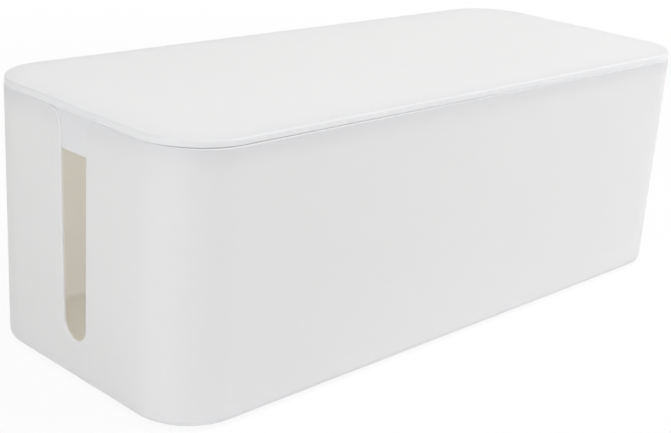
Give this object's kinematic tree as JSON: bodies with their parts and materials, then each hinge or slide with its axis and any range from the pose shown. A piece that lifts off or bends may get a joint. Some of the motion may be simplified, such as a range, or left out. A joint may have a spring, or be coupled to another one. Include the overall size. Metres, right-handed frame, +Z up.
{
  "type": "cable management box",
  "caption": "Long rounded plastic box with a lift-off lid that hides a power strip, with a flared cable notch in each end closed on top by a tongue on the lid.",
  "frame": {"origin": "centre of the footprint on the table plane, under the soles of the feet", "axes": "+X along the length, +Y towards the back long wall, so the seen long wall faces -Y, and +Z up through the lid"},
  "size_m": [0.4, 0.165, 0.14],
  "materials": {
    "bin_plastic": "satin white moulded plastic",
    "lid_plastic": "satin white moulded plastic",
    "foot_rubber": "matte grey rubber",
    "foot_adhesive": "translucent acrylic adhesive disc"
  },
  "bodies": {
    "bin_body": {"bin": "bin_plastic", "foot_front_left": "foot_rubber", "foot_front_right": "foot_rubber", "foot_back_left": "foot_rubber", "foot_back_right": "foot_rubber", "adhesive_front_left": "foot_adhesive", "adhesive_front_right": "foot_adhesive", "adhesive_back_left": "foot_adhesive", "adhesive_back_right": "foot_adhesive"},
    "lid_body": {"lid": "lid_plastic"}
  },
  "joints": [
    {"name": "lid_lift", "type": "slide", "parent": "bin_body", "child": "lid_body", "axis": [0, 0, 1], "range_m": [0, 0.15]}
  ]
}
